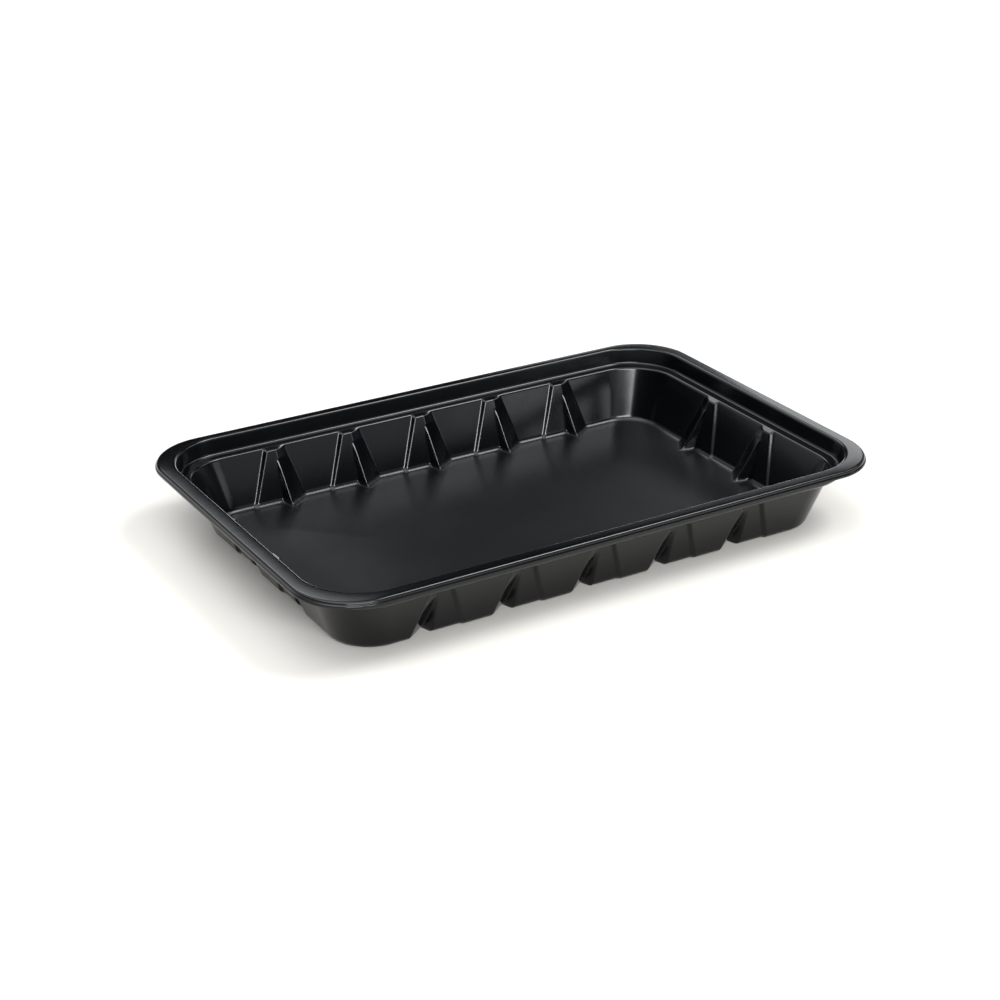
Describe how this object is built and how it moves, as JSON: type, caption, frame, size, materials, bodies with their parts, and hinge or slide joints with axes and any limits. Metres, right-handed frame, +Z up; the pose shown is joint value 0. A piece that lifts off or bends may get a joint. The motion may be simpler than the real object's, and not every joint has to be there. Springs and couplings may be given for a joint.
{
  "type": "food tray",
  "caption": "Shallow black rectangular food tray of thin pressed sheet, with tapered ribs in its drafted walls, an inner ledge and a flat flange with a short turned-down lip.",
  "frame": {"origin": "middle of the flat base, on the surface the tray stands on", "axes": "+X along the long side, +Y along the short side, +Z up, out of the tray's open top"},
  "size_m": [0.25, 0.1624, 0.03],
  "materials": {
    "black_sheet": "satin"
  },
  "bodies": {
    "root": {"tray": "black_sheet"}
  },
  "joints": []
}
